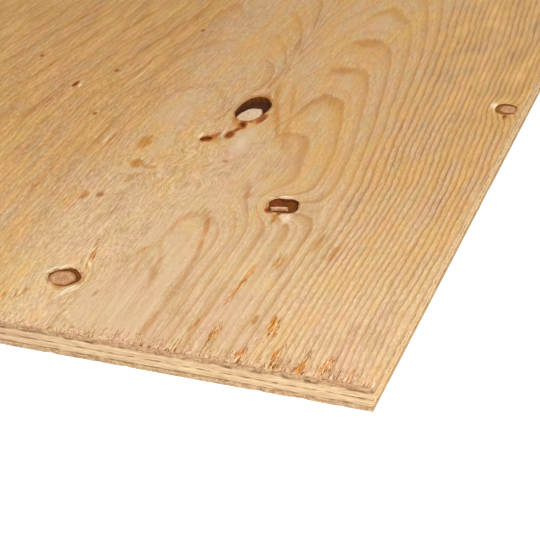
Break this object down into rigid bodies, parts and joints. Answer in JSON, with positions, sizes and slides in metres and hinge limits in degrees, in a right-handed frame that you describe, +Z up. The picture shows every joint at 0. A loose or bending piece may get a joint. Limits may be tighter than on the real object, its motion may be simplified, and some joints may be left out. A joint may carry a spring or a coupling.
{
  "type": "plywood sheet",
  "caption": "Full sheet of unsanded softwood sheathing plywood: flat rectangular panel of glued crossed veneers, knotty face, plain sawn edges.",
  "frame": {"origin": "middle of the sheet's underside", "axes": "+X along the 8 ft length and the grain of the face, +Y across the 4 ft width, +Z up out of the face veneer. The corner that the picture shows is at least X and least Y"},
  "size_m": [2.4384, 1.2192, 0.0127],
  "materials": {
    "face_wood": "unsanded rotary-cut softwood, straw yellow with brown latewood lines",
    "core_wood": "sawn edge of pale crossband veneer",
    "back_wood": "unsanded rotary-cut softwood, slightly darker than the face"
  },
  "bodies": {
    "root": {"face_veneer": "face_wood", "upper_core_veneer": "core_wood", "lower_core_veneer": "core_wood", "back_veneer": "back_wood"}
  },
  "joints": []
}
